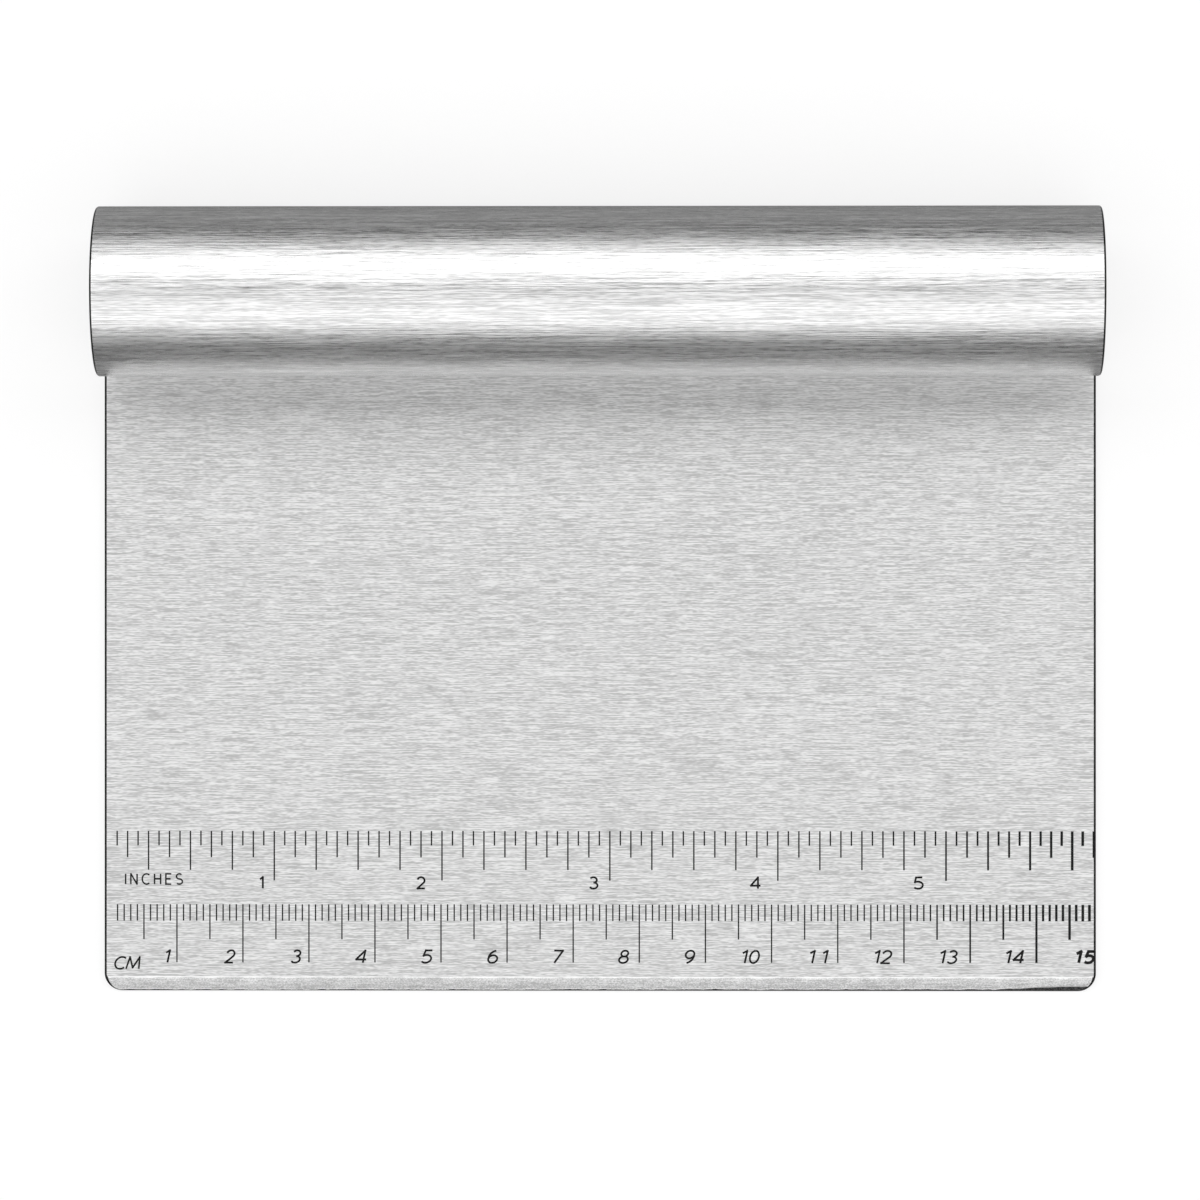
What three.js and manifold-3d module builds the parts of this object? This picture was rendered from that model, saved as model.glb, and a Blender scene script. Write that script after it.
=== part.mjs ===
// A dough scraper of stainless steel: a flat blade with two engraved scales and a round hollow handle.
// It lies on its back: X runs along the handle, Y from the blade's edge to the handle, Z up from the table.
// The origin is on the table, at the middle of the scraper's outline. Lengths are in millimetres.
import * as THREE from 'three';
import { mergeGeometries, mergeVertices } from 'three/addons/utils/BufferGeometryUtils.js';
import Module from 'manifold-3d';

// The whole scraper: across the blade and the handle, and from the edge to the far side of the handle
const overallWidth = 150;
const overallDepth = 118;

// Blade sheet
const bladeThickness = 1.2;
const cornerRadius = 2.7;
const bevelHeight = 2.1;
const edgeThickness = 0.25;

// Handle, rolled from strip and closed by a disc at each end
const handleDiameter = 25.4;
const stripThickness = 1;
const discThickness = 1.3;
const discRimRadius = 0.5;

// Welds between the blade and the handle
const rearSeamWidth = 2;
const rearSeamCrown = 0.2;
const frontSeamLeg = 3;
const frontSeamHollow = 0.4;

// Gap between a piece and the neighbour that it is shaped to
const seatGap = 0.3;

// Engraved scales: where each starts from the blade's left side, and its top above the blade's edge
const markWidth = 0.2;
const markDepth = 0.1;
const markMargin = 0.3;
const inchZero = 0.35;
const inchTop = 24.2;
const inchMark = 7.5;
const quarterInchMark = 5.9;
const eighthInchMark = 4;
const sixteenthInchMark = 2.2;
const sixteenthInch = 25.4 / 16;
const centimetreZero = 1;
const centimetreTop = 13.1;
const centimetreMark = 8.8;
const halfCentimetreMark = 5.3;
const millimetreMark = 2.5;
const millimetre = 1;

// Fineness of round stretches
const circleSegments = 96;
const cornerSegments = 6;
const rimSegments = 2;

// Places that follow from the sizes above, and how far a cutter reaches past what it cuts
const handleRadius = handleDiameter / 2;
const edgeY = -overallDepth / 2;
const axisY = overallDepth / 2 - handleRadius;
const axisZ = handleRadius;
const tubeLength = overallWidth - 2 * discThickness;
const bladeTopY = axisY - rearSeamWidth;
const lipZ = bladeThickness + seatGap;
const cutReach = bladeThickness;

const wasm = await Module();
wasm.setup();

function solidOf(geometry) {
  const bare = geometry.clone();
  bare.deleteAttribute('normal');
  bare.deleteAttribute('uv');
  const merged = mergeVertices(bare);
  return new wasm.Manifold(new wasm.Mesh({
    numProp: 3,
    vertProperties: new Float32Array(merged.attributes.position.array),
    triVerts: new Uint32Array(merged.index.array),
  }));
}

function geometryOf(solid) {
  const { vertProperties, triVerts } = solid.getMesh();
  const geometry = new THREE.BufferGeometry();
  geometry.setAttribute('position', new THREE.BufferAttribute(vertProperties, 3));
  geometry.setIndex(new THREE.BufferAttribute(triVerts, 1));
  geometry.computeVertexNormals();
  return geometry;
}

// A section drawn in Y and Z, drawn out along X and centred on the middle of the scraper.
function alongX(section, length, curveSegments = cornerSegments) {
  const geometry = new THREE.ExtrudeGeometry(section, { depth: length, bevelEnabled: false, curveSegments });
  const turn = new THREE.Matrix4().makeBasis(
    new THREE.Vector3(0, 1, 0),
    new THREE.Vector3(0, 0, 1),
    new THREE.Vector3(1, 0, 0),
  );
  return geometry.applyMatrix4(turn).translate(-length / 2, 0, 0);
}

function polygon(points) {
  return new THREE.Shape(points.map(([x, y]) => new THREE.Vector2(x, y)));
}

function steel(color, roughness) {
  return new THREE.MeshStandardMaterial({ color, roughness, metalness: 1 });
}

// The sheet's outline: rounded lower corners, and a neck that passes between the end discs.
function bladeOutline() {
  const halfWidth = overallWidth / 2;
  const halfNeck = tubeLength / 2;
  const discReach = Math.sqrt(handleRadius ** 2 - (handleRadius - bladeThickness) ** 2);
  const shoulderY = axisY - Math.max(discReach, rearSeamWidth) - seatGap;
  const cornerY = edgeY + cornerRadius;
  const outline = new THREE.Shape();
  outline.absarc(halfWidth - cornerRadius, cornerY, cornerRadius, -Math.PI / 2, 0);
  outline.lineTo(halfWidth, shoulderY);
  outline.lineTo(halfNeck, shoulderY);
  outline.lineTo(halfNeck, bladeTopY);
  outline.lineTo(-halfNeck, bladeTopY);
  outline.lineTo(-halfNeck, shoulderY);
  outline.lineTo(-halfWidth, shoulderY);
  outline.absarc(-halfWidth + cornerRadius, cornerY, cornerRadius, Math.PI, 1.5 * Math.PI);
  return outline;
}

// The wedge that the grinder takes off the front of the lower edge.
function bevelCutter() {
  const slope = (bladeThickness - edgeThickness) / bevelHeight;
  const wedge = polygon([
    [edgeY + bevelHeight + cutReach, bladeThickness + cutReach * slope],
    [edgeY - cutReach, edgeThickness - cutReach * slope],
    [edgeY - cutReach, bladeThickness + cutReach * slope],
  ]);
  return alongX(wedge, overallWidth + 2 * cutReach);
}

// How far down a mark reaches, by its number along the scale
function inchMarkLength(sixteenths) {
  if (sixteenths % 16 === 0) return inchMark;
  if (sixteenths % 4 === 0) return quarterInchMark;
  return sixteenths % 2 === 0 ? eighthInchMark : sixteenthInchMark;
}

function centimetreMarkLength(millimetres) {
  if (millimetres % 10 === 0) return centimetreMark;
  return millimetres % 5 === 0 ? halfCentimetreMark : millimetreMark;
}

// The grooves of one scale, from its first mark to the last that fits on the blade
function scaleMarks(zero, step, top, lengthOf) {
  const count = Math.floor((overallWidth - zero - markMargin) / step);
  const marks = [];
  for (let number = 1; number <= count; number += 1) {
    const length = lengthOf(number);
    const mark = new THREE.BoxGeometry(markWidth, length, 2 * markDepth);
    mark.translate(zero + number * step - overallWidth / 2, edgeY + top - length / 2, bladeThickness);
    marks.push(mark);
  }
  return marks;
}

function blade() {
  const sheet = new THREE.ExtrudeGeometry(bladeOutline(), {
    depth: bladeThickness,
    bevelEnabled: false,
    curveSegments: cornerSegments,
  });
  const marks = mergeGeometries([
    ...scaleMarks(inchZero, sixteenthInch, inchTop, inchMarkLength),
    ...scaleMarks(centimetreZero, millimetre, centimetreTop, centimetreMarkLength),
  ]);
  const solid = solidOf(sheet).subtract(solidOf(bevelCutter())).subtract(solidOf(marks));
  return new THREE.Mesh(geometryOf(solid), steel(0xc8c9ca, 0.38));
}

// The strip runs from the rear seam over the top of the handle and back down to a lip on the blade's face.
// It is drawn about the handle's own axis.
function handleTube() {
  const ring = new THREE.Shape();
  ring.absarc(0, 0, handleRadius, 0, 2 * Math.PI);
  const bore = new THREE.Path();
  bore.absarc(0, 0, handleRadius - stripThickness, 0, 2 * Math.PI);
  ring.holes.push(bore);
  const tube = alongX(ring, tubeLength, circleSegments / 2);
  const slotReach = handleRadius + cutReach;
  const slot = polygon([
    [-slotReach, -slotReach],
    [0, -slotReach],
    [0, lipZ - axisZ],
    [-slotReach, lipZ - axisZ],
  ]);
  const solid = solidOf(tube).subtract(solidOf(alongX(slot, tubeLength + 2 * cutReach)));
  return new THREE.Mesh(geometryOf(solid), steel(0xcbcccd, 0.32));
}

// A disc with a rounded outer rim, turned about the handle's axis. Side is -1 for left and 1 for right.
function endDisc(side) {
  const half = new THREE.Path();
  half.moveTo(0, 0);
  half.lineTo(handleRadius, 0);
  half.absarc(handleRadius - discRimRadius, discThickness - discRimRadius, discRimRadius, 0, Math.PI / 2);
  half.lineTo(0, discThickness);
  const turned = new THREE.LatheGeometry(half.getPoints(rimSegments), circleSegments);
  const disc = new THREE.Mesh(geometryOf(solidOf(turned)), steel(0xc4c5c6, 0.3));
  disc.rotation.z = -side * Math.PI / 2;
  disc.position.x = side * tubeLength / 2;
  return disc;
}

// Butt weld that closes the gap between the blade's top edge and the strip, crowned on the inside.
function rearSeamWeld() {
  const controlZ = bladeThickness + 2 * rearSeamCrown;
  const section = new THREE.Shape();
  section.moveTo(bladeTopY, 0);
  section.lineTo(axisY, 0);
  section.lineTo(axisY, bladeThickness);
  section.quadraticCurveTo(axisY - rearSeamWidth / 2, controlZ, bladeTopY, bladeThickness);
  return new THREE.Mesh(alongX(section, tubeLength), steel(0xb9b8b4, 0.45));
}

// Fillet weld in the narrow corner between the strip's lip and the blade's face.
function frontSeamWeld() {
  const radius = handleRadius + seatGap;
  const footAngle = Math.PI + Math.asin((axisZ - lipZ) / radius);
  const headAngle = footAngle - frontSeamLeg / radius;
  const head = new THREE.Vector2(axisY + radius * Math.cos(headAngle), axisZ + radius * Math.sin(headAngle));
  const toe = new THREE.Vector2(axisY + radius * Math.cos(footAngle) - frontSeamLeg, lipZ);
  const hollow = head.clone().add(toe).multiplyScalar(0.5);
  hollow.x += 2 * frontSeamHollow;
  const section = new THREE.Shape();
  section.absarc(axisY, axisZ, radius, headAngle, footAngle);
  section.lineTo(toe.x, toe.y);
  section.quadraticCurveTo(hollow.x, hollow.y, head.x, head.y);
  return new THREE.Mesh(alongX(section, tubeLength), steel(0xb2b0ac, 0.5));
}

function named(name, mesh) {
  mesh.name = name;
  return mesh;
}

const handle = new THREE.Group();
handle.position.set(0, axisY, axisZ);
handle.add(
  named('handle_tube', handleTube()),
  named('left_end_disc', endDisc(-1)),
  named('right_end_disc', endDisc(1)),
);

const scraper = new THREE.Group();
scraper.add(
  named('blade', blade()),
  handle,
  named('rear_seam_weld', rearSeamWeld()),
  named('front_seam_weld', frontSeamWeld()),
);

export default scraper;
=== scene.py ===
# A stainless steel dough scraper, lying on its back on a white studio table.
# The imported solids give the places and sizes; each section below dresses one piece of the scraper.
import math

import bpy
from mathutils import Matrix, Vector


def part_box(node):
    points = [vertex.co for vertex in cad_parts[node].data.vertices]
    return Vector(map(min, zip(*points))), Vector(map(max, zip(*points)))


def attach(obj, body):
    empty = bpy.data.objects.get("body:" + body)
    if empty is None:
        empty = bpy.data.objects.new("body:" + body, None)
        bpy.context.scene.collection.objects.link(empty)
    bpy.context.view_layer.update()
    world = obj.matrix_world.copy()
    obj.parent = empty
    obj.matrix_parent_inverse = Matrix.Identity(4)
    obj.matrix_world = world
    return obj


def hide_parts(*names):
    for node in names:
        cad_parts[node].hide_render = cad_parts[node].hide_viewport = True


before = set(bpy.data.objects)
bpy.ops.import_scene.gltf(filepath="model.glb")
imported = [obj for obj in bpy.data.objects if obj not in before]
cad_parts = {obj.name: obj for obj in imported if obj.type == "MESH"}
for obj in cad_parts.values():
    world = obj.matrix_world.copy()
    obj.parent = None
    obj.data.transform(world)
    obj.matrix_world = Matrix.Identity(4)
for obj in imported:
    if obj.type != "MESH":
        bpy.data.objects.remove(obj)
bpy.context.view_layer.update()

# The camera looks straight down from a stand, a little to the right of the scraper's middle.
# A long lens keeps the handle, which lies nearer to it, almost at the blade's own scale.
MM = 0.001
CAMERA_RIGHT = 14.7 * MM
CAMERA_HEIGHT = 931.2 * MM
CAMERA_AIM = Vector((0.06 * MM, 0.15 * MM, 1.2 * MM))
LENS = 184.5
SENSOR_WIDTH = 36
FARTHEST_SEEN = 20

bpy.ops.object.select_all(action="DESELECT")
bpy.ops.object.camera_add(location=(CAMERA_RIGHT, CAMERA_AIM.y, CAMERA_HEIGHT))
camera = bpy.context.object
camera.name = "overhead_camera"
camera.data.lens = LENS
camera.data.sensor_width = SENSOR_WIDTH
camera.data.clip_end = FARTHEST_SEEN
camera.rotation_euler.y = math.atan2(CAMERA_RIGHT - CAMERA_AIM.x, CAMERA_HEIGHT - CAMERA_AIM.z)
bpy.context.scene.camera = camera


# The blade is cut from stainless sheet, brushed across its width, with its sheared outline rounded off.
# Its lower edge is ground to a bevel on the front, and the inch and centimetre scales are engraved above it
# and filled black. Its narrower neck runs under the handle to the weld at the back.
blade_low, blade_high = (Vector(corner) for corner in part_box("blade"))
BLADE_CORNER = 2.7 * MM
CORNER_STEPS = 20
BLADE_SHOULDER = 40.6 * MM
BLADE_NECK_HALF = 73.7 * MM
BLADE_ROUNDING = 0.48 * MM
ROUNDING_STEPS = 6
EDGE_SHARE = 0.4
GROUND_HEIGHT = 2.25 * MM
GROUND_EDGE = 0.25 * MM
GROUND_STEPS = 8
GROUND_CROWN = 1.45
TOUCHING = 0.01 * MM


def start_piece(name, size=(1, 1, 1)):
    """Names the new primitive, and puts its size and place into its mesh."""
    piece = bpy.context.object
    piece.name = name
    piece.data.name = name
    piece.scale = size
    bpy.ops.object.transform_apply(location=True, rotation=True, scale=True)
    return piece


def pick_piece(piece):
    bpy.ops.object.select_all(action="DESELECT")
    bpy.context.view_layer.objects.active = piece
    piece.select_set(True)


def edit(piece):
    pick_piece(piece)
    bpy.ops.object.mode_set(mode="EDIT")


def leave_edit():
    bpy.ops.object.mode_set(mode="OBJECT")


def pick_faces(piece, wanted):
    """Selects the faces that the test wants, by their middle and normal."""
    bpy.ops.mesh.select_mode(type="FACE")
    bpy.ops.mesh.select_all(action="DESELECT")
    leave_edit()
    for face in piece.data.polygons:
        face.select = wanted(face.center, face.normal)
    bpy.ops.object.mode_set(mode="EDIT")


def pick_edges(piece, wanted):
    """Selects the edges that the test wants, by their two ends."""
    bpy.ops.mesh.select_mode(type="EDGE")
    bpy.ops.mesh.select_all(action="DESELECT")
    leave_edit()
    corners = piece.data.vertices
    for edge in piece.data.edges:
        edge.select = wanted(*(corners[index].co for index in edge.vertices))
    bpy.ops.object.mode_set(mode="EDIT")


def near(value, target):
    return abs(value - target) < TOUCHING


blade_width = blade_high.x - blade_low.x
blade_thickness = blade_high.z - blade_low.z
bpy.ops.object.select_all(action="DESELECT")
bpy.ops.mesh.primitive_cube_add(
    size=1,
    location=(0, (blade_low.y + BLADE_SHOULDER) / 2, blade_thickness / 2),
)
blade = start_piece("scraper_blade", (blade_width, BLADE_SHOULDER - blade_low.y, blade_thickness))
edit(blade)

# The neck rises from the shoulders
pick_faces(blade, lambda middle, normal: normal.y > 0.9)
bpy.ops.mesh.extrude_region_move()
bpy.ops.transform.resize(
    value=(2 * BLADE_NECK_HALF / blade_width, 1, 1),
    center_override=(0, BLADE_SHOULDER, blade_thickness / 2),
)
bpy.ops.mesh.extrude_region_move(
    TRANSFORM_OT_translate={"value": (0, blade_high.y - BLADE_SHOULDER, 0)},
)

# The lower corners are rounded in the outline
pick_edges(blade, lambda a, b: near(a.y, blade_low.y) and near(b.y, blade_low.y) and near(a.x, b.x))
bpy.ops.mesh.bevel(offset=BLADE_CORNER, segments=CORNER_STEPS, affect="EDGES")


def on_rim(point):
    """True for a point of the front on the blade's outline, below the shoulders."""
    if point.z < blade_thickness / 2:
        return False
    past_x = abs(point.x) - (blade_high.x - BLADE_CORNER)
    past_y = blade_low.y + BLADE_CORNER - point.y
    if past_y <= 0:
        return near(abs(point.x), blade_high.x)
    if past_x <= 0:
        return near(point.y, blade_low.y)
    return near(math.hypot(past_x, past_y), BLADE_CORNER)


# The front of the outline is rounded over below the shoulders
pick_edges(blade, lambda a, b: on_rim(a) and on_rim(b) and on_rim((a + b) / 2))
bpy.ops.mesh.bevel(offset=BLADE_ROUNDING, segments=ROUNDING_STEPS, affect="EDGES")
leave_edit()


def step_height(step):
    """Metal that the grinder leaves at one of its steps, which are steeper near the edge."""
    taken = (1 - step / GROUND_STEPS) ** GROUND_CROWN
    return GROUND_EDGE + (blade_thickness - GROUND_EDGE) * (1 - taken)


def ground_height(y):
    """Metal that is left at a place along Y, on flat strips from step to step."""
    steps = min(max((y - blade_low.y) / GROUND_HEIGHT, 0), 1) * GROUND_STEPS
    whole = min(int(steps), GROUND_STEPS - 1)
    return step_height(whole) + (step_height(whole + 1) - step_height(whole)) * (steps - whole)


# The rounding is drawn in round the lower edge, where the grinder leaves little metal for it
for corner in blade.data.vertices:
    past_y = blade_low.y + BLADE_CORNER - corner.co.y
    if corner.co.z < blade_thickness / 2 or past_y <= 0:
        continue
    past_x = max(abs(corner.co.x) - (blade_high.x - BLADE_CORNER), 0)
    reach = math.hypot(past_x, past_y)
    rim_y = blade_low.y + BLADE_CORNER * (1 - past_y / reach)
    narrowed = EDGE_SHARE * ground_height(rim_y) / BLADE_ROUNDING
    outward = (BLADE_CORNER - (BLADE_CORNER - reach) * narrowed) / reach
    corner.co.x += math.copysign(past_x * (outward - 1), corner.co.x)
    corner.co.y -= past_y * (outward - 1)
    corner.co.z = blade_thickness - (blade_thickness - corner.co.z) * narrowed

# The grinder lowers the front along the edge in strips, steeper towards the edge as the belt gives way
edit(blade)
for step in range(1, GROUND_STEPS + 1):
    bpy.ops.mesh.select_all(action="SELECT")
    cut_y = blade_low.y + GROUND_HEIGHT * step / GROUND_STEPS
    bpy.ops.mesh.bisect(plane_co=(0, cut_y, 0), plane_no=(0, 1, 0))
leave_edit()
for corner in blade.data.vertices:
    if corner.co.z > blade_thickness / 2:
        corner.co.z -= blade_thickness - ground_height(corner.co.y)

# Engraved marks of both scales: the places are measured from the blade's left side and its lower edge.
# The lengths go by the division that a mark lies on, the coarsest first, and the last marks grow bold.
INCH_ZERO = 0.35 * MM
INCH_TOP = 24.2 * MM
SIXTEENTH = 25.4 / 16 * MM
SIXTEENTHS = 94
INCH_MARKS = {16: 7.5 * MM, 4: 5.9 * MM, 2: 4 * MM, 1: 2.2 * MM}
INCH_MARK_WIDTH = 0.22 * MM
CENTIMETRE_ZERO = 1 * MM
CENTIMETRE_TOP = 13.1 * MM
MILLIMETRES = 148
CENTIMETRE_MARKS = {10: 8.8 * MM, 5: 5.3 * MM, 1: 2.5 * MM}
CENTIMETRE_MARK_WIDTH = 0.205 * MM
MARK_DEPTH = 0.1 * MM
BOLD_WIDTH = 0.44 * MM
BOLD_FROM = 110 * MM
BOLD_TO = 150 * MM
BOLD_LAST = 149.2 * MM


def add_marks(first, step, count, top, thin_width, lengths):
    """Adds one block for each mark of a scale to the cutter that is being edited."""
    for number in range(1, count + 1):
        along = first + number * step
        share = max((along - BOLD_FROM) / (BOLD_TO - BOLD_FROM), 0)
        if along > BOLD_LAST:
            share = 0
        width = thin_width + (BOLD_WIDTH - thin_width) * share**2
        length = next(length for division, length in lengths.items() if number % division == 0)
        bpy.ops.mesh.primitive_cube_add(
            size=1,
            location=(blade_low.x + along, blade_low.y + top - length / 2, blade_thickness),
            scale=(width, length, 2 * MARK_DEPTH),
        )


bpy.ops.object.select_all(action="DESELECT")
bpy.ops.mesh.primitive_plane_add(size=1 * MM)
mark_cutter = start_piece("mark_cutter")
edit(mark_cutter)
bpy.ops.mesh.select_all(action="SELECT")
bpy.ops.mesh.delete(type="VERT")
add_marks(INCH_ZERO, SIXTEENTH, SIXTEENTHS, INCH_TOP, INCH_MARK_WIDTH, INCH_MARKS)
add_marks(CENTIMETRE_ZERO, 1 * MM, MILLIMETRES, CENTIMETRE_TOP, CENTIMETRE_MARK_WIDTH, CENTIMETRE_MARKS)
leave_edit()


def bow(x, y, wide, high, start, end, steps=12):
    """Points of a round stroke, from one angle to another in degrees."""
    points = []
    for step in range(steps + 1):
        angle = math.radians(start + (end - start) * step / steps)
        points.append((x + wide * math.cos(angle), y + high * math.sin(angle)))
    return points


# The engraver's strokes for each character, in a cell of height 1
STROKES = {
    "0": [bow(0.3, 0.5, 0.28, 0.5, 90, 450, 20)],
    "1": [[(0.12, 0.8), (0.38, 1), (0.38, 0)]],
    "2": [bow(0.3, 0.7, 0.27, 0.3, 165, -35) + [(0.03, 0), (0.6, 0)]],
    "3": [bow(0.28, 0.76, 0.24, 0.24, 150, -90), bow(0.28, 0.27, 0.29, 0.27, 90, -150)],
    "4": [[(0.47, 0), (0.47, 1), (0, 0.27), (0.64, 0.27)]],
    "5": [[(0.55, 1), (0.16, 1)] + bow(0.28, 0.32, 0.3, 0.32, 130, -140)],
    "6": [bow(0.3, 0.31, 0.28, 0.31, 160, 520, 20), bow(0.5, 0.4, 0.48, 0.6, 178, 100, 8)],
    "7": [[(0.03, 1), (0.58, 1), (0.2, 0)]],
    "8": [bow(0.3, 0.76, 0.22, 0.24, -90, 270, 16), bow(0.3, 0.27, 0.28, 0.27, 90, 450, 18)],
    "9": [bow(0.3, 0.69, 0.28, 0.31, -20, 340, 20), bow(0.1, 0.6, 0.48, 0.6, -2, -80, 8)],
    "I": [[(0, 0), (0, 1)]],
    "N": [[(0, 0), (0, 1), (0.57, 0), (0.57, 1)]],
    "C": [bow(0.39, 0.5, 0.39, 0.5, 48, 312, 16)],
    "H": [[(0, 0), (0, 1)], [(0.56, 0), (0.56, 1)], [(0, 0.52), (0.56, 0.52)]],
    "E": [[(0.5, 1), (0, 1), (0, 0), (0.5, 0)], [(0, 0.52), (0.44, 0.52)]],
    "S": [bow(0.3, 0.75, 0.26, 0.25, 40, 250, 10) + bow(0.3, 0.25, 0.285, 0.25, 80, -140, 10)],
    "M": [[(0, 0), (0.1, 1), (0.42, 0.1), (0.74, 1), (0.84, 0)]],
}
SHARP_TURN = math.radians(40)
OVERRUN = 0.4
NEXT_OVERRUN = 0.8
STROKE_LIFT = 0.01 * MM
CHARACTER_SPREAD = 1.27


def part_strokes(line, overrun):
    """Parts a line at its sharp turns, each stroke running a little past the turn."""
    strokes = [[Vector(line[0])]]
    for before, here, after in zip(line, line[1:], line[2:]):
        way_in = (Vector(here) - Vector(before)).normalized()
        way_out = (Vector(after) - Vector(here)).normalized()
        if way_in.angle(way_out) > SHARP_TURN:
            strokes[-1].append(Vector(here) + way_in * overrun)
            strokes.append([Vector(here) - way_out * overrun * NEXT_OVERRUN])
        else:
            strokes[-1].append(Vector(here))
    strokes[-1].append(Vector(line[-1]))
    return strokes


def engrave_word(word, left, right, base, height, stroke, slant=0.0, pair_spread=CHARACTER_SPREAD):
    """Lays round strokes for a word between two places on the blade, and returns them as one mesh."""
    tall = height - stroke
    cells = []
    for character in word:
        points = [point for line in STROKES[character] for point in line]
        cells.append((min(x for x, y in points), max(x for x, y in points)))
    widths = sum(high - low for low, high in cells)
    room = (right - left - stroke) / tall - slant
    spread = pair_spread if len(word) > 1 else room / widths
    gap = (room - widths * spread) / max(len(word) - 1, 1)
    curve = bpy.data.curves.new("scale_word", "CURVE")
    curve.dimensions = "3D"
    curve.bevel_depth = stroke / 2
    curve.bevel_resolution = 1
    curve.use_fill_caps = True
    reach = 0.0
    for character, (low, high) in zip(word, cells):
        for line in STROKES[character]:
            placed = [(reach + (x - low) * spread + slant * y, y) for x, y in line]
            for points in part_strokes(placed, OVERRUN * stroke / tall):
                spline = curve.splines.new("POLY")
                spline.points.add(len(points) - 1)
                for point, (x, y) in zip(spline.points, points):
                    across = blade_low.x + left + stroke / 2 + x * tall
                    up = blade_low.y + base + stroke / 2 + y * tall
                    point.co = (across, up, blade_thickness + STROKE_LIFT, 1)
        reach += (high - low) * spread + gap
    engraving = bpy.data.objects.new("scale_word", curve)
    bpy.context.collection.objects.link(engraving)
    pick_piece(engraving)
    bpy.ops.object.convert(target="MESH")
    return bpy.context.object


# Numbers of both scales: widths in millimetres, and their middles in millimetres from the blade's left side
DIGIT_WIDTHS = {
    1: 0.75, 2: 1.45, 3: 1.47, 4: 1.78, 5: 1.6, 6: 1.6, 7: 1.6, 8: 1.55, 9: 1.55,
}
PAIR_WIDTH = 2.8
WIDE_PAIRS = {14: 3.1, 15: 3.05}
PAIR_SPREADS = {14: 1.3, 15: 1.36}
INCH_MIDDLES = (23.8, 48, 74.1, 98.6, 123.2)
INCH_BASE = 15.35 * MM
INCH_HEIGHT = 2.02 * MM
CENTIMETRE_MIDDLES = (
    9.5, 19.1, 29.1, 39, 48.9, 58.9, 68.6, 78.7, 88.6, 97.8, 108, 117.8, 127.7, 137.75, 148.3,
)
CENTIMETRE_BASE = 4.1 * MM
CENTIMETRE_HEIGHT = 2.18 * MM
CENTIMETRE_SLANT = 0.22
STROKE = 0.31 * MM
BOLD_STROKES = {14: 0.34 * MM, 15: 0.46 * MM}


def engrave_number(number, middle, base, height, stroke, slant=0.0):
    """Lays the strokes for a number about its middle on the blade."""
    upright = DIGIT_WIDTHS.get(number, WIDE_PAIRS.get(number, PAIR_WIDTH)) * MM
    half = (upright + slant * height) / 2
    spread = PAIR_SPREADS.get(number, CHARACTER_SPREAD)
    return engrave_word(str(number), middle - half, middle + half, base, height, stroke, slant, spread)


words = [
    engrave_word(
        "INCHES",
        left=3.1 * MM,
        right=11.95 * MM,
        base=16 * MM,
        height=1.82 * MM,
        stroke=0.25 * MM,
        pair_spread=1.05,
    ),
    engrave_word(
        "CM",
        left=1.3 * MM,
        right=5.75 * MM,
        base=3.15 * MM,
        height=2.1 * MM,
        stroke=0.29 * MM,
        slant=CENTIMETRE_SLANT,
    ),
]
for number, middle in enumerate(INCH_MIDDLES, 1):
    words.append(engrave_number(number, middle * MM, INCH_BASE, INCH_HEIGHT, STROKE))
for number, middle in enumerate(CENTIMETRE_MIDDLES, 1):
    stroke = BOLD_STROKES.get(number, STROKE)
    words.append(
        engrave_number(number, middle * MM, CENTIMETRE_BASE, CENTIMETRE_HEIGHT, stroke, CENTIMETRE_SLANT)
    )
pick_piece(words[0])
for word in words:
    word.select_set(True)
bpy.ops.object.join()
word_cutter = bpy.context.object
word_cutter.name = "word_cutter"


class Wire:
    """One socket of a material's nodes. Sums on wires and numbers add the Math nodes for them."""

    def __init__(self, tree, socket):
        self.tree = tree
        self.socket = socket

    def sum(self, operation, left, right):
        return add_node(self.tree, "ShaderNodeMath", {"operation": operation}, {0: left, 1: right})

    def __add__(self, other):
        return self.sum("ADD", self, other)

    def __radd__(self, other):
        return self.sum("ADD", other, self)

    def __sub__(self, other):
        return self.sum("SUBTRACT", self, other)

    def __rsub__(self, other):
        return self.sum("SUBTRACT", other, self)

    def __mul__(self, other):
        return self.sum("MULTIPLY", self, other)

    def __rmul__(self, other):
        return self.sum("MULTIPLY", other, self)


def add_node(tree, kind, settings, inputs, output=0):
    """Adds a node, sets it up, fills its sockets with values or links, and returns one of its outputs."""
    node = tree.nodes.new(kind)
    for name, value in settings.items():
        setattr(node, name, value)
    for key, value in inputs.items():
        if isinstance(value, Wire):
            tree.links.new(value.socket, node.inputs[key])
        else:
            node.inputs[key].default_value = value
    return Wire(tree, node.outputs[output])


def new_finish(name):
    """A metal to fill in: the material, its shader, and the place on the piece that its patterns follow."""
    finish = bpy.data.materials.new(name)
    finish.use_nodes = True
    shader = finish.node_tree.nodes["Principled BSDF"]
    shader.inputs["Metallic"].default_value = 1
    place = add_node(finish.node_tree, "ShaderNodeTexCoord", {}, {}, "Object")
    return finish, shader, place


def feed(shader, socket, wire):
    wire.tree.links.new(wire.socket, shader.inputs[socket])


def emboss(shader, height, depth):
    """Raises a finish by a pattern of heights from 0 to 1, of this depth in all."""
    bump = add_node(
        height.tree, "ShaderNodeBump", {}, {"Strength": 1, "Distance": depth, "Height": height}
    )
    feed(shader, "Normal", bump)


def grey(level):
    return (level, level, level, 1)


def mix_colours(share, first, second):
    return add_node(share.tree, "ShaderNodeMix", {"data_type": "RGBA"}, {0: share, 6: first, 7: second}, 2)


def specks(place, size, detail):
    return add_node(
        place.tree, "ShaderNodeTexNoise", {}, {"Vector": place, "Scale": 1 / size, "Detail": detail}
    )


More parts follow.
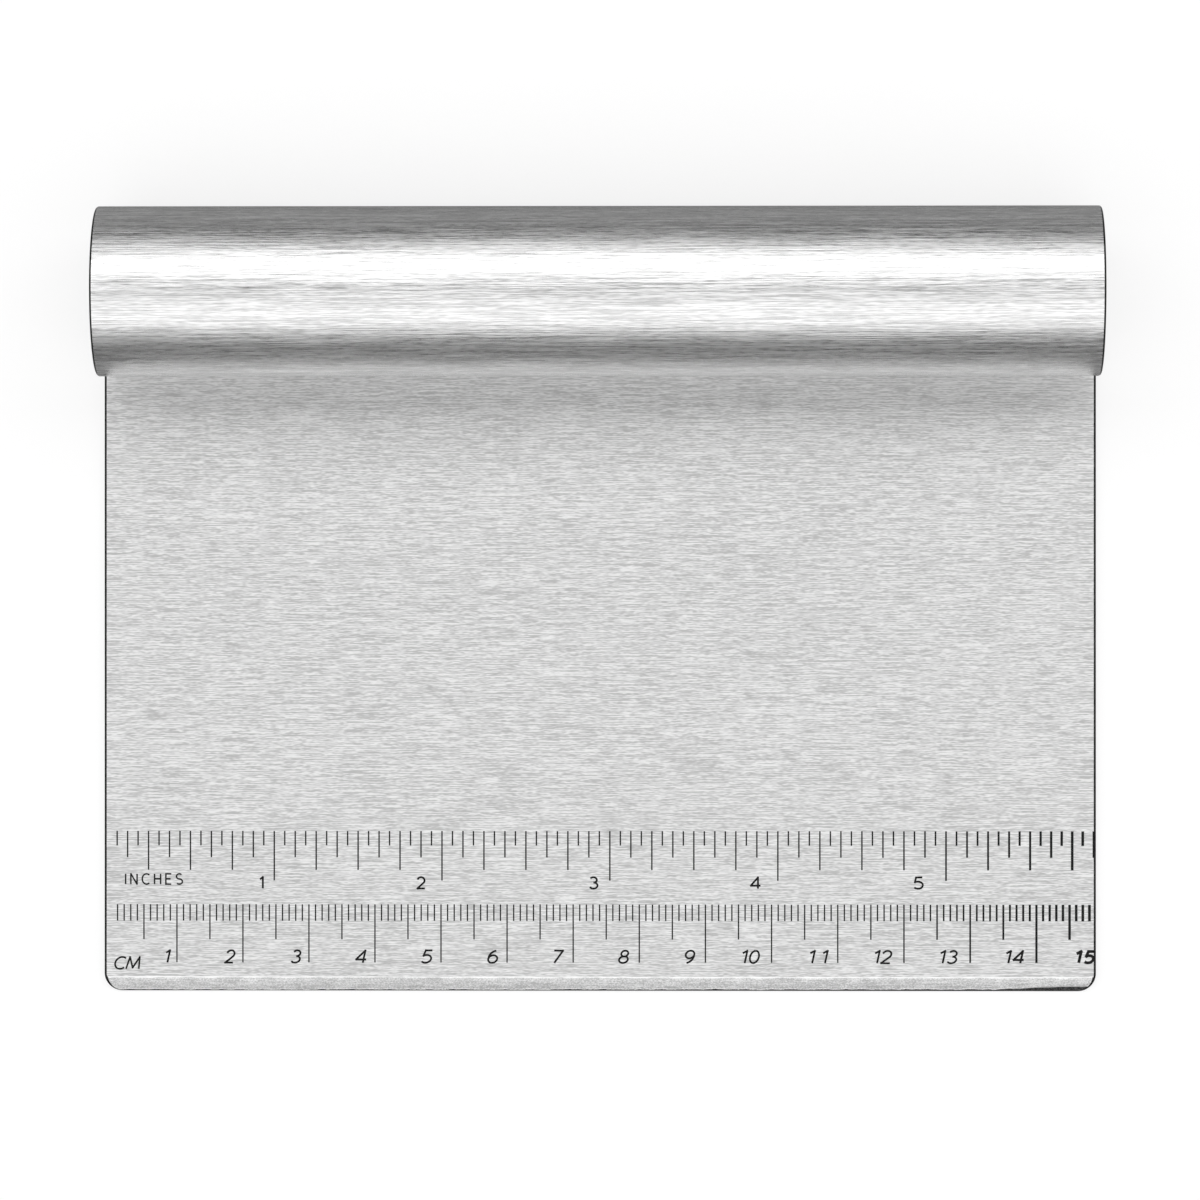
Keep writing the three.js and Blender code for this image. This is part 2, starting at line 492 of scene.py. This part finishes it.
def brush_lines(place, length, width, detail, offset):
    """Noise drawn out along X, as the grit of a brushing belt leaves it."""
    stretched = add_node(
        place.tree,
        "ShaderNodeMapping",
        {},
        {"Vector": place, "Location": (offset, 0, 0), "Scale": (1 / length, 1 / width, 1 / width)},
    )
    return specks(stretched, 1, detail)


def swing(noise, contrast):
    """Noise about zero, made stronger or weaker."""
    return (noise - 0.5) * contrast


GRAIN_LENGTH = 0.8 * MM
GRAIN_WIDTH = 0.09 * MM
GRAIN_CONTRAST = 2.4
GRAIN_DEPTH = 0.2
STREAK_LENGTH = 3 * MM
STREAK_WIDTH = 0.1 * MM
STREAK_CONTRAST = 2.9
LONG_STREAK_LENGTH = 10 * MM
LONG_STREAK_WIDTH = 0.11 * MM
LONG_STREAK_CONTRAST = 2.5
BAND_LENGTH = 40 * MM
BAND_WIDTH = 6 * MM
BAND_CONTRAST = 0.25
BRUSHED_UNEVEN = 0.05
LOW_ANGLE_BLEND = 0.75


def brushed_steel(name, dark, light, roughness, gloss, scratch, stretch):
    """Stainless steel brushed along X: streaks of three lengths, all as thin as a hair, over faint bands.

    Seen at a low angle the fine grooves mirror what is behind them, so gloss takes roughness away there.
    """
    finish, shader, place = new_finish(name)
    grains = brush_lines(place, GRAIN_LENGTH * stretch, GRAIN_WIDTH, 0, 0)
    streaks = brush_lines(place, STREAK_LENGTH * stretch, STREAK_WIDTH, 0, 3)
    long_streaks = brush_lines(place, LONG_STREAK_LENGTH * stretch, LONG_STREAK_WIDTH, 0, 5)
    bands = brush_lines(place, BAND_LENGTH, BAND_WIDTH, 1, 7)
    lines = (
        swing(grains, GRAIN_CONTRAST)
        + swing(streaks, STREAK_CONTRAST)
        + swing(long_streaks, LONG_STREAK_CONTRAST)
    )
    tone = lines + swing(bands, BAND_CONTRAST) + 0.5
    feed(shader, "Base Color", mix_colours(tone, grey(dark), grey(light)))
    low_angle = add_node(place.tree, "ShaderNodeLayerWeight", {}, {"Blend": LOW_ANGLE_BLEND}, "Facing")
    feed(shader, "Roughness", roughness + lines * BRUSHED_UNEVEN - low_angle * gloss)
    emboss(shader, grains * GRAIN_DEPTH + streaks + long_streaks, scratch)
    return finish


blade_steel = brushed_steel(
    "brushed_blade_steel",
    dark=0.5,
    light=0.81,
    roughness=0.55,
    gloss=0.24,
    scratch=0.012 * MM,
    stretch=1,
)

# The rim is smooth, and its colour is painted near-black as painted shade along the rounded outline
RIM_SPECK = 0.5 * MM
RIM_CONTRAST = 2
RIM_ROUGHNESS = 0.3
RIM_UNEVEN = 0.2
rim_shade_steel, rim_shader, rim_place = new_finish("rim_painted_shade_steel")
rim_specks = specks(rim_place, RIM_SPECK, 2)
rim_tone = swing(rim_specks, RIM_CONTRAST) + 0.5
feed(rim_shader, "Base Color", mix_colours(rim_tone, grey(0.012), grey(0.045)))
feed(rim_shader, "Roughness", RIM_ROUGHNESS + swing(rim_specks, RIM_UNEVEN))

# The ground face has the short grain of a fine belt, a painted highlight line along its crest, and a
# painted uneven dark line of shade along the very edge with a painted highlight line above it.
# Its colour is also painted darker towards the edge as painted shade. The lines' widths and places are in
# millimetres.
SHADE_LINE = 0.21
SHADE_LINE_RIGHT = 0.07
SHADE_LINE_SOFT = 0.06
SHADE_LINE_DRIFT = 0.3
SHADE_LINE_RAGGED = 0.2
SHADE_LINE_CONTRAST = 3
SHADE_LINE_TONE = 0.4
CORNER_SHADE_LINE = 0.42
CORNER_SHADE_LINE_FROM = 60 * MM
CORNER_SHADE_LINE_TO = 71 * MM
EDGE_HIGHLIGHT_LINE = 0.14
EDGE_HIGHLIGHT_TOP = 1.3
EDGE_HIGHLIGHT_FADE = 6
EDGE_HIGHLIGHT_HAZE = 0.7
CREST_HIGHLIGHT_LINE = 0.22
CREST_HIGHLIGHT_TOP = 1.6
CREST_HIGHLIGHT_DRIFT = 1.5
EDGE_SHADE = 0.12
GROUND_GRAIN_CONTRAST = 2.4
GROUND_STREAK_CONTRAST = 0.9
GROUND_DRIFT_CONTRAST = 0.8
GROUND_TONE = 0.45
GROUND_ROUGHNESS = 0.42
GROUND_UNEVEN = 0.3
GROUND_SCRATCH = 0.02 * MM
PAINTED_HIGHLIGHT_WHITE = grey(0.95)

ground_steel, ground_shader, ground_place = new_finish("ground_edge_steel")
ground_tree = ground_place.tree
ground_x = add_node(ground_tree, "ShaderNodeSeparateXYZ", {}, {"Vector": ground_place}, "X")
ground_y = add_node(ground_tree, "ShaderNodeSeparateXYZ", {}, {"Vector": ground_place}, "Y")
ground_grain = brush_lines(ground_place, 0.26 * MM, 0.16 * MM, 1, 0)
ground_drift = brush_lines(ground_place, 1.8 * MM, 1.2 * MM, 1, 4)
ground_streaks = brush_lines(ground_place, 3 * MM, 0.18 * MM, 0, 9)
above_edge = (ground_y - blade_low.y) * (1 / MM)
# The ground face's colour is painted darker towards the edge, as painted shade
ground_tone = (
    swing(ground_grain, GROUND_GRAIN_CONTRAST)
    + swing(ground_streaks, GROUND_STREAK_CONTRAST)
    + swing(ground_drift, GROUND_DRIFT_CONTRAST)
    + swing(above_edge * (MM / GROUND_HEIGHT), EDGE_SHADE)
    + GROUND_TONE
)
ground_colour = mix_colours(ground_tone, grey(0.42), grey(0.8))
# A painted highlight runs along the crest of the ground face, nearly white
crest_highlight_share = (
    (above_edge - GROUND_HEIGHT / MM) * (1 / CREST_HIGHLIGHT_LINE)
    + CREST_HIGHLIGHT_TOP
    + swing(ground_drift, CREST_HIGHLIGHT_DRIFT)
)
crest_highlight_colour = mix_colours(crest_highlight_share, ground_colour, PAINTED_HIGHLIGHT_WHITE)
# The painted dark shade line widens towards the lower right corner
shade_into_corner = add_node(
    ground_tree,
    "ShaderNodeMapRange",
    {},
    {"Value": ground_x, "From Min": CORNER_SHADE_LINE_FROM, "From Max": CORNER_SHADE_LINE_TO, "To Max": CORNER_SHADE_LINE},
)
shade_line_width = (
    SHADE_LINE
    + ground_x * (SHADE_LINE_RIGHT / blade_high.x)
    + shade_into_corner
    + swing(ground_drift, SHADE_LINE_DRIFT)
    + swing(ground_grain, SHADE_LINE_RAGGED)
)
# A painted highlight line runs just above the painted shade line, and fades out into the corner
edge_highlight_share = EDGE_HIGHLIGHT_TOP - (above_edge - shade_line_width) * (1 / EDGE_HIGHLIGHT_LINE) - shade_into_corner * EDGE_HIGHLIGHT_FADE
edge_highlight_colour = mix_colours(edge_highlight_share, crest_highlight_colour, PAINTED_HIGHLIGHT_WHITE)
# The painted shade line is near-black with a little grain
shade_line_tone = swing(ground_grain, SHADE_LINE_CONTRAST) + SHADE_LINE_TONE
shade_line_colour = mix_colours(shade_line_tone, grey(0.025), grey(0.15))
shade_line_share = (shade_line_width - above_edge) * (1 / SHADE_LINE_SOFT) + 0.5
feed(ground_shader, "Base Color", mix_colours(shade_line_share, edge_highlight_colour, shade_line_colour))
feed(ground_shader, "Roughness", GROUND_ROUGHNESS + swing(ground_grain, GROUND_UNEVEN))
# The painted highlight line is also made less metallic, so that it shows paler
clear_edge_highlight = add_node(ground_tree, "ShaderNodeClamp", {}, {"Value": edge_highlight_share - shade_line_share})
feed(ground_shader, "Metallic", 1 - clear_edge_highlight * EDGE_HIGHLIGHT_HAZE)
emboss(ground_shader, ground_grain, GROUND_SCRATCH)

# The engraving is filled with a dull black that has worn a little
MARK_CONTRAST = 2
MARK_TONE = 0.35
mark_black, mark_shader, mark_place = new_finish("black_filled_engraving")
mark_wear = brush_lines(mark_place, 0.8 * MM, 0.25 * MM, 2, 3)
mark_tone = swing(mark_wear, MARK_CONTRAST) + MARK_TONE
feed(mark_shader, "Base Color", mix_colours(mark_tone, grey(0.003), grey(0.02)))
mark_shader.inputs["Metallic"].default_value = 0
mark_shader.inputs["Roughness"].default_value = 0.7
mark_shader.inputs["Specular IOR Level"].default_value = 0.2

blade_finishes = [blade_steel, mark_black, rim_shade_steel, ground_steel]


def engrave(piece, cutter, crossing):
    """Cuts the cutter out of the blade, and fills the cut with black."""
    cutter.data.materials.clear()
    for finish in blade_finishes:
        cutter.data.materials.append(finish)
    for face in cutter.data.polygons:
        face.material_index = blade_finishes.index(mark_black)
    cut = piece.modifiers.new("engraving", "BOOLEAN")
    cut.object = cutter
    cut.operation = "DIFFERENCE"
    cut.solver = "EXACT"
    cut.use_self = crossing
    cut.material_mode = "INDEX"
    pick_piece(piece)
    bpy.ops.object.modifier_apply(modifier=cut.name)
    bpy.data.objects.remove(cutter)


# The ground strips face up and the rim leans, while the flat front and the sides keep the brushed steel;
# the rim's steel is painted near-black as shade
MERGED = 0.001 * MM
GROUND_UP = 0.8
GROUND_ASIDE = 0.05
RIM_UP = (0.05, 0.985)
for finish in blade_finishes:
    blade.data.materials.append(finish)
for face in blade.data.polygons:
    on_ground = face.center.y < blade_low.y + GROUND_HEIGHT
    if on_ground and face.normal.z > GROUND_UP and abs(face.normal.x) < GROUND_ASIDE:
        face.material_index = blade_finishes.index(ground_steel)
    elif RIM_UP[0] < face.normal.z < RIM_UP[1] and face.center.y < BLADE_SHOULDER:
        face.material_index = blade_finishes.index(rim_shade_steel)
engrave(blade, mark_cutter, False)
engrave(blade, word_cutter, True)
edit(blade)
bpy.ops.mesh.select_all(action="SELECT")
bpy.ops.mesh.remove_doubles(threshold=MERGED)
bpy.ops.mesh.dissolve_degenerate(threshold=MERGED)
leave_edit()
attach(blade, "root")
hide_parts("blade")


# The handle is a strip of thin sheet rolled round into a tube, brushed along its length.
# Its rear edge meets the blade's top edge, and its front lip comes down on the blade's face.
tube_low, tube_high = (Vector(corner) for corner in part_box("handle_tube"))
STRIP_THICKNESS = 1 * MM
LIP_HEIGHT = 1.5 * MM
TUBE_STEPS = 240
SMOOTH_BELOW = math.radians(25)

handle_radius = (tube_high.z - tube_low.z) / 2
handle_axis = Vector((0, tube_high.y - handle_radius, tube_high.z - handle_radius))
lip_turn = math.pi / 2 - math.asin((handle_axis.z - LIP_HEIGHT) / handle_radius)
bpy.ops.object.select_all(action="DESELECT")
bpy.ops.mesh.primitive_plane_add(
    size=1,
    location=(0, handle_axis.y, STRIP_THICKNESS / 2),
    rotation=(math.pi / 2, 0, 0),
)
handle_tube = start_piece("handle_tube_rolled", (tube_high.x - tube_low.x, STRIP_THICKNESS, 1))
edit(handle_tube)
bpy.ops.mesh.select_all(action="SELECT")
bpy.ops.mesh.spin(
    steps=TUBE_STEPS,
    angle=2 * math.pi - lip_turn,
    center=handle_axis,
    axis=(1, 0, 0),
)
bpy.ops.mesh.select_all(action="SELECT")
bpy.ops.mesh.remove_doubles(threshold=MERGED)
bpy.ops.mesh.normals_make_consistent(inside=False)
leave_edit()
bpy.ops.object.shade_smooth_by_angle(angle=SMOOTH_BELOW)
handle_steel = brushed_steel(
    "brushed_handle_steel",
    dark=0.58,
    light=0.95,
    roughness=0.34,
    gloss=0.12,
    scratch=0.019 * MM,
    stretch=2,
)
handle_tube.data.materials.append(handle_steel)
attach(handle_tube, "root")
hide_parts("handle_tube")


# Two round discs, turned from sheet, close the ends of the handle and are welded to the strip all round.
# The seam is ground away and brushed over with the handle, and the end face keeps its turning lines.
DISC_RIM = 0.45 * MM
DISC_SEGMENTS = 240
DISC_INSET = 0.3 * MM
RIM_STEPS = 5
RIM_START = 0.4
RIM_END = 0.95
TURNING_LINE = 0.5 * MM
TURNING_SCALE = 2.5
TURNING_CONTRAST = 2.5
TURNING_DEPTH = 0.015 * MM
DISC_ROUGHNESS = 0.34
DISC_UNEVEN = 0.25

disc_steel, disc_shader, disc_place = new_finish("round_ground_disc_steel")
disc_tree = disc_place.tree
from_axis = add_node(
    disc_tree, "ShaderNodeVectorMath", {"operation": "SUBTRACT"}, {0: disc_place, 1: handle_axis}
)
on_face = add_node(
    disc_tree, "ShaderNodeVectorMath", {"operation": "MULTIPLY"}, {0: from_axis, 1: (0, 1, 1)}
)
out_from_axis = add_node(disc_tree, "ShaderNodeVectorMath", {"operation": "LENGTH"}, {0: on_face}, "Value")
heading = add_node(disc_tree, "ShaderNodeVectorMath", {"operation": "NORMALIZE"}, {0: on_face})
turning = add_node(
    disc_tree,
    "ShaderNodeTexNoise",
    {"noise_dimensions": "4D"},
    {"Vector": heading, "W": out_from_axis * (1 / TURNING_LINE), "Scale": TURNING_SCALE, "Detail": 1},
)
disc_tone = swing(turning, TURNING_CONTRAST) + 0.5
feed(disc_shader, "Base Color", mix_colours(disc_tone, grey(0.5), grey(0.82)))
feed(disc_shader, "Roughness", DISC_ROUGHNESS + swing(turning, DISC_UNEVEN))
emboss(disc_shader, turning, TURNING_DEPTH)

disc_finishes = [disc_steel, handle_steel, rim_shade_steel]
for name, node in (("left_handle_disc", "left_end_disc"), ("right_handle_disc", "right_end_disc")):
    disc_low, disc_high = (Vector(corner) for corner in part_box(node))
    side = 1 if disc_low.x > 0 else -1
    bpy.ops.object.select_all(action="DESELECT")
    bpy.ops.mesh.primitive_cylinder_add(
        vertices=DISC_SEGMENTS,
        radius=handle_radius,
        depth=disc_high.x - disc_low.x,
        location=((disc_low.x + disc_high.x) / 2, handle_axis.y, handle_axis.z),
        rotation=(0, math.pi / 2, 0),
    )
    disc = start_piece(name)
    outer = max(disc_low.x * side, disc_high.x * side)
    edit(disc)
    pick_edges(disc, lambda a, b: near(a.x * side, outer) and near(b.x * side, outer))
    bpy.ops.mesh.bevel(offset=DISC_RIM, segments=RIM_STEPS, affect="EDGES")
    pick_faces(disc, lambda middle, normal: normal.x * side > 0.999)
    bpy.ops.mesh.inset(thickness=DISC_INSET)
    leave_edit()
    bpy.ops.object.shade_smooth_by_angle(angle=SMOOTH_BELOW)
    for finish in disc_finishes:
        disc.data.materials.append(finish)
    # The disc's rounded rim takes the rim steel, painted near-black as shade
    for face in disc.data.polygons:
        tilt = abs(face.normal.x)
        if tilt > RIM_END:
            finish = disc_steel
        elif tilt > RIM_START:
            finish = rim_shade_steel
        else:
            finish = handle_steel
        face.material_index = disc_finishes.index(finish)
    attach(disc, "root")
    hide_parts(node)


# The front weld is a fillet laid in the corner between the strip's lip and the blade's face, and the rear
# weld is a butt seam between the blade's top edge and the strip, ground flush at the back.
# Each drop of filler left a small crescent, so both show ripples where they were not ground.
WELD_RIPPLE = 1.6 * MM
WELD_SWELL = 0.12 * MM
SWELL_DRIFT = 0.25
DRIFT_LENGTH = 5.3 * MM
CRESCENT = 0.35
WELD_RINGS = (23, 31)
WELD_STEPS = 8
WELD_SMOOTH_BELOW = math.radians(40)
FILLET_HOLLOW = 0.3 * MM
FUSED = 0.05 * MM
WELD_SPECK = 0.6 * MM
WELD_CONTRAST = 2.5
WELD_ROUGHNESS = 0.42
WELD_UNEVEN = 0.4
WELD_GRAIN = 0.03 * MM

weld_steel, weld_shader, weld_place = new_finish("cleaned_weld_steel")
weld_specks = specks(weld_place, WELD_SPECK, 3)
weld_tone = swing(weld_specks, WELD_CONTRAST) + 0.5
feed(weld_shader, "Base Color", mix_colours(weld_tone, (0.5, 0.49, 0.47, 1), (0.78, 0.77, 0.75, 1)))
feed(weld_shader, "Roughness", WELD_ROUGHNESS + swing(weld_specks, WELD_UNEVEN))
emboss(weld_shader, weld_specks, WELD_GRAIN)


def lay_weld(name, node, section, swelling):
    """Draws a section out along X as a bar of many rings, and swells its free face in ripples.

    The section's points are (y, z), and the free face comes first, with as many points as the swelling.
    Swelling gives the way (y, z) that each point of the free face moves.
    """
    weld_low, weld_high = (Vector(corner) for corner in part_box(node))
    bpy.ops.object.select_all(action="DESELECT")
    bpy.ops.mesh.primitive_circle_add(vertices=len(section), radius=1 * MM, fill_type="NGON")
    weld = start_piece(name)
    for corner, (y, z) in zip(weld.data.vertices, section):
        corner.co = (weld_low.x, y, z)
    edit(weld)
    bpy.ops.mesh.select_all(action="SELECT")
    bpy.ops.mesh.extrude_region_move(TRANSFORM_OT_translate={"value": (weld_high.x - weld_low.x, 0, 0)})
    for cuts in WELD_RINGS:
        pick_edges(weld, lambda a, b: not near(a.x, b.x))
        bpy.ops.mesh.subdivide(number_cuts=cuts)
    bpy.ops.mesh.select_all(action="SELECT")
    bpy.ops.mesh.normals_make_consistent(inside=False)
    leave_edit()
    for corner in weld.data.vertices:
        for number, (way_y, way_z) in enumerate(swelling):
            y, z = section[number]
            if near(corner.co.y, y) and near(corner.co.z, z):
                share = number / (len(swelling) - 1)
                drops = (corner.co.x - weld_low.x) / WELD_RIPPLE + CRESCENT * (2 * share - 1) ** 2
                drift = 1 - SWELL_DRIFT + SWELL_DRIFT * math.sin(corner.co.x / DRIFT_LENGTH)
                swell = WELD_SWELL * drift * abs(math.sin(math.pi * drops)) * math.sin(math.pi * share)
                corner.co.y += swell * way_y
                corner.co.z += swell * way_z
                break
    bpy.ops.object.shade_smooth_by_angle(angle=WELD_SMOOTH_BELOW)
    weld.data.materials.append(weld_steel)
    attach(weld, "root")
    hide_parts(node)


fillet_low, fillet_high = (Vector(corner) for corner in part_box("front_seam_weld"))
tube_face = handle_radius - FUSED


def on_tube(turn):
    """Point (y, z) just inside the tube's face, at a turn about its axis."""
    return Vector((handle_axis.y + tube_face * math.cos(turn), handle_axis.z + tube_face * math.sin(turn)))


head_turn = math.pi + math.asin((handle_axis.z - fillet_high.z) / tube_face)
lip_end = math.pi + math.asin((handle_axis.z - LIP_HEIGHT) / tube_face)
fillet_toe = Vector((fillet_low.y, blade_thickness - FUSED))
fillet_head = on_tube(head_turn)
rise = (fillet_head - fillet_toe).normalized()
outward = Vector((-rise.y, rise.x))
fillet_face = []
for step in range(WELD_STEPS + 1):
    share = step / WELD_STEPS
    hollow = FILLET_HOLLOW * 4 * share * (1 - share)
    fillet_face.append(fillet_toe.lerp(fillet_head, share) - outward * hollow)
fillet_root = [on_tube((head_turn + lip_end) / 2), on_tube(lip_end)]
fillet_root.append(Vector((fillet_root[-1].x, blade_thickness - FUSED)))
lay_weld("front_weld_bead", "front_seam_weld", fillet_face + fillet_root, [outward] * len(fillet_face))

seam_low, seam_high = (Vector(corner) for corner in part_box("rear_seam_weld"))
seam_crown = seam_high.z - blade_thickness - WELD_SWELL
seam_face = []
for step in range(WELD_STEPS + 1):
    share = step / WELD_STEPS
    height = blade_thickness + seam_crown * 4 * share * (1 - share)
    seam_face.append((seam_high.y + (seam_low.y - seam_high.y) * share, height))
seam_back = [(seam_low.y, seam_low.z), (seam_high.y, seam_low.z)]
lay_weld("rear_weld_seam", "rear_seam_weld", seam_face + seam_back, [(0, 1)] * len(seam_face))


# The studio: a white table that glows a little, a rank of soft lamps from the edge side over to the handle
# side, one lamp beyond either end, and dim grey surroundings. Two grey cards round the scraper show only in
# the steel, as a photographer's flags do.
TABLE_SIZE = 8
TABLE_DROP = 0.02 * MM
TABLE_WHITE = 0.97
TABLE_GLOW = 0.65
CARD_SIZE = 1.2
CARD_LIFT = 0.2 * MM
LAMP_DISTANCE = 2.0
RANK_LENGTH = 4.4
END_LAMP_LENGTH = 3.2
END_LAMP_RADIANCE = 0.75
SURROUNDINGS = 0.09


def stage_plane(name, size, place, level):
    bpy.ops.object.select_all(action="DESELECT")
    bpy.ops.mesh.primitive_plane_add(size=size, location=place)
    plane = start_piece(name)
    cover = bpy.data.materials.new(name)
    cover.use_nodes = True
    shader = cover.node_tree.nodes["Principled BSDF"]
    shader.inputs["Base Color"].default_value = grey(level)
    shader.inputs["Roughness"].default_value = 1
    shader.inputs["Specular IOR Level"].default_value = 0
    plane.data.materials.append(cover)
    return plane


def soft_lamp(name, low_angle, high_angle, length, radiance, heading=0):
    """A rectangular lamp that faces the scraper and covers these angles from the vertical.

    The angles are counted towards the handle, or turned from there about the vertical by the heading.
    """
    middle = math.radians(low_angle + high_angle) / 2
    spread = math.radians(high_angle - low_angle) / 2
    turn = math.radians(heading)
    out = LAMP_DISTANCE * math.sin(middle)
    bpy.ops.object.light_add(
        type="AREA",
        location=(-out * math.sin(turn), out * math.cos(turn), LAMP_DISTANCE * math.cos(middle)),
        rotation=(-middle, 0, turn),
    )
    lamp = bpy.context.object
    lamp.name = name
    lamp.visible_camera = False
    lamp.data.shape = "RECTANGLE"
    lamp.data.size = length
    lamp.data.size_y = 2 * LAMP_DISTANCE * math.tan(spread)
    lamp.data.energy = radiance * math.pi * lamp.data.size * lamp.data.size_y


table = stage_plane("white_table", TABLE_SIZE, (0, 0, -TABLE_DROP), TABLE_WHITE)

# The table glows a little to the camera and to the steel, which keeps its white even and its shadows soft
table_tree = table.active_material.node_tree
table_cover = Wire(table_tree, table_tree.nodes["Principled BSDF"].outputs["BSDF"])
table_glow = add_node(table_tree, "ShaderNodeEmission", {}, {"Color": grey(1), "Strength": 1})
camera_ray = add_node(table_tree, "ShaderNodeLightPath", {}, {}, "Is Camera Ray")
glossy_ray = add_node(table_tree, "ShaderNodeLightPath", {}, {}, "Is Glossy Ray")
clear_ray = add_node(table_tree, "ShaderNodeLightPath", {}, {}, "Is Transmission Ray")
table_share = (camera_ray + glossy_ray + clear_ray) * TABLE_GLOW
table_blend = add_node(
    table_tree, "ShaderNodeMixShader", {}, {0: table_share, 1: table_cover, 2: table_glow}
)
table_tree.links.new(table_blend.socket, table_tree.nodes["Material Output"].inputs["Surface"])

for name, away, level in (("front_card", -1, 0.19), ("rear_card", 1, 0.28)):
    card = stage_plane(name, CARD_SIZE, (0, away * CARD_SIZE / 2, CARD_LIFT), level)
    card.visible_camera = False
    card.visible_diffuse = False
    card.visible_shadow = False
    card.visible_transmission = False

for name, low_angle, high_angle, radiance in (
    ("edge_side_low", -77, -70, 0.5),
    ("edge_side_lamp", -57, -22, 1.3),
    ("overhead_lamp", -22, 1, 0.98),
    ("handle_side_lamp", 17, 48, 2.1),
    ("handle_side_low", 57, 70, 1),
):
    soft_lamp(name, low_angle, high_angle, RANK_LENGTH, radiance)
for name, heading in (("left_lamp", 90), ("right_lamp", -90)):
    soft_lamp(name, 50, 85, END_LAMP_LENGTH, END_LAMP_RADIANCE, heading)

world = bpy.data.worlds.new("studio_grey")
bpy.context.scene.world = world
world.use_nodes = True
world.node_tree.nodes["Background"].inputs["Color"].default_value = grey(SURROUNDINGS)
bpy.context.scene.view_settings.view_transform = "Standard"
